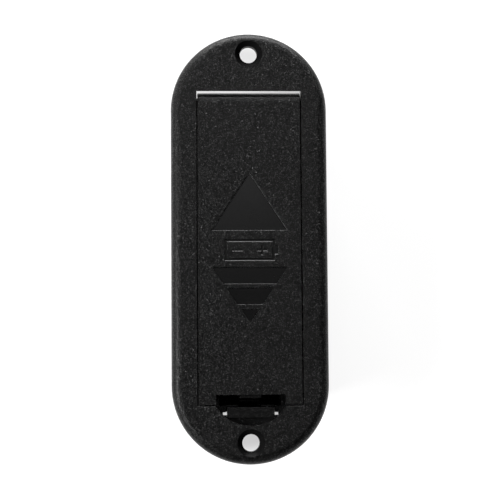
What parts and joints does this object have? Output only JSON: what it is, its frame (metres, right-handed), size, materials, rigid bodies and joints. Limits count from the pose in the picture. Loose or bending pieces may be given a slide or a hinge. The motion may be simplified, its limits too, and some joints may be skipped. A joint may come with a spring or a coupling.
{
  "type": "nine volt battery holder",
  "caption": "Oval screw-on plate with a deep box for a nine volt battery on edge, a hinged door with a snap latch and leaf contacts.",
  "frame": {"origin": "midway between the two screw holes, on the back of the plate", "axes": "+Z out of the front of the plate, +Y along the plate towards the hinge, +X to the right seen from the front"},
  "size_m": [0.029, 0.08, 0.0308],
  "materials": {
    "case_plastic": "fine moulded grain, black",
    "door_plastic": "fine moulded grain, black, smooth sunk marks",
    "latch_plastic": "smooth satin black",
    "contact_metal": "nickel-plated spring strip, solder lug bent up behind the end wall"
  },
  "bodies": {
    "holder": {"base": "case_plastic", "contact_positive": "contact_metal", "contact_negative": "contact_metal"},
    "door": {"door": "door_plastic"},
    "latch": {"latch": "latch_plastic"}
  },
  "joints": [
    {"name": "door_hinge", "type": "hinge", "parent": "holder", "child": "door", "pos_m": [0, 0.0268, 0.0003], "axis": [-1, 0, 0], "range_deg": [0, 92]},
    {"name": "latch_press", "type": "hinge", "parent": "door", "child": "latch", "pos_m": [0, -0.02863, -0.006], "axis": [-1, 0, 0], "range_deg": [0, 8], "stiffness_Nm_per_rad": 0.2}
  ]
}
